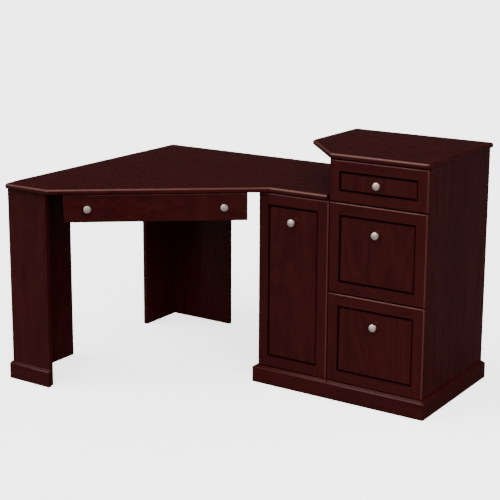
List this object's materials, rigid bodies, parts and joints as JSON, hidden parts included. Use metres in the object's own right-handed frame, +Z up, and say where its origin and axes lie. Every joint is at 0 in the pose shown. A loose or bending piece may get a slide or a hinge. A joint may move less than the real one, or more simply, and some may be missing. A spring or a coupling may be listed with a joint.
{
  "type": "corner desk",
  "caption": "Corner desk with a diagonal front edge, panel legs, a drawer under the worktop, and a cabinet with a door, drawers and a raised top",
  "frame": {"origin": "On the floor, under the middle of the whole desk's outline", "axes": "+X runs along the right-hand wall from the room corner towards the drawers, +Y points at that wall, away from the cabinet's fronts, +Z is up"},
  "size_m": [1.51, 1.05, 0.917],
  "materials": {
    "top_veneer": "semi-gloss dark cherry",
    "panel_veneer": "satin dark cherry",
    "front_veneer": "satin dark cherry",
    "drawer_lining": "pale lining",
    "hardboard": "brown hardboard",
    "satin_nickel": "satin nickel",
    "zinc_steel": "bright zinc"
  },
  "bodies": {
    "carcass": {"worktop": "top_veneer", "raised_top": "top_veneer", "end_panel": "panel_veneer", "end_return_panel": "panel_veneer", "end_base_moulding": "panel_veneer", "corner_leg_left": "panel_veneer", "corner_leg_right": "panel_veneer", "cabinet_left_side": "panel_veneer", "cabinet_divider": "panel_veneer", "cabinet_right_side": "panel_veneer", "cabinet_floor": "panel_veneer", "door_bay_back": "hardboard", "drawer_bay_back": "hardboard", "plinth_board": "panel_veneer", "base_moulding_front": "front_veneer", "base_moulding_sides": "panel_veneer", "door_bay_rails": "panel_veneer", "drawer_bay_rails": "panel_veneer", "corner_brackets": "zinc_steel", "bracket_screws": "zinc_steel", "centre_drawer_hangers": "panel_veneer", "centre_runner_outer": "zinc_steel", "box_runner_outer": "zinc_steel", "upper_file_runner_outer": "zinc_steel", "lower_file_runner_outer": "zinc_steel", "hinge_arms": "zinc_steel"},
    "door_leaf": {"door": "front_veneer", "door_knob": "satin_nickel", "hinge_cups": "zinc_steel"},
    "centre_drawer": {"centre_front": "front_veneer", "centre_sides": "drawer_lining", "centre_back": "drawer_lining", "centre_bottom": "hardboard", "centre_knobs": "satin_nickel", "centre_runner_inner": "zinc_steel"},
    "box_drawer": {"box_front": "front_veneer", "box_side_left": "drawer_lining", "box_side_right": "drawer_lining", "box_back": "drawer_lining", "box_bottom": "hardboard", "box_knob": "satin_nickel", "box_runner_inner": "zinc_steel"},
    "upper_file_drawer": {"upper_file_front": "front_veneer", "upper_file_side_left": "drawer_lining", "upper_file_side_right": "drawer_lining", "upper_file_back": "drawer_lining", "upper_file_bottom": "hardboard", "upper_file_knob": "satin_nickel", "upper_file_runner_inner": "zinc_steel", "upper_file_hanging_rails": "zinc_steel"},
    "upper_file_slide": {"upper_file_runner_middle": "zinc_steel"},
    "lower_file_drawer": {"lower_file_front": "front_veneer", "lower_file_side_left": "drawer_lining", "lower_file_side_right": "drawer_lining", "lower_file_back": "drawer_lining", "lower_file_bottom": "hardboard", "lower_file_knob": "satin_nickel", "lower_file_runner_inner": "zinc_steel", "lower_file_hanging_rails": "zinc_steel"},
    "lower_file_slide": {"lower_file_runner_middle": "zinc_steel"}
  },
  "joints": [
    {"name": "door_hinge", "type": "hinge", "parent": "carcass", "child": "door_leaf", "pos_m": [0.345, -0.015, 0.403], "axis": [0, 0, 1], "range_deg": [0, 88]},
    {"name": "centre_drawer_slide", "type": "slide", "parent": "carcass", "child": "centre_drawer", "axis": [0.6193, -0.7852, 0], "range_m": [0, 0.26]},
    {"name": "box_drawer_slide", "type": "slide", "parent": "carcass", "child": "box_drawer", "axis": [0, -1, 0], "range_m": [0, 0.33]},
    {"name": "upper_file_drawer_slide", "type": "slide", "parent": "carcass", "child": "upper_file_drawer", "axis": [0, -1, 0], "range_m": [0, 0.4]},
    {"name": "upper_file_member_slide", "type": "slide", "parent": "carcass", "child": "upper_file_slide", "axis": [0, -1, 0], "range_m": [0, 0.2]},
    {"name": "lower_file_drawer_slide", "type": "slide", "parent": "carcass", "child": "lower_file_drawer", "axis": [0, -1, 0], "range_m": [0, 0.4]},
    {"name": "lower_file_member_slide", "type": "slide", "parent": "carcass", "child": "lower_file_slide", "axis": [0, -1, 0], "range_m": [0, 0.2]}
  ],
  "couplings": [
    {"joint": "upper_file_member_slide", "follows": "upper_file_drawer_slide", "ratio": 0.5},
    {"joint": "lower_file_member_slide", "follows": "lower_file_drawer_slide", "ratio": 0.5}
  ]
}
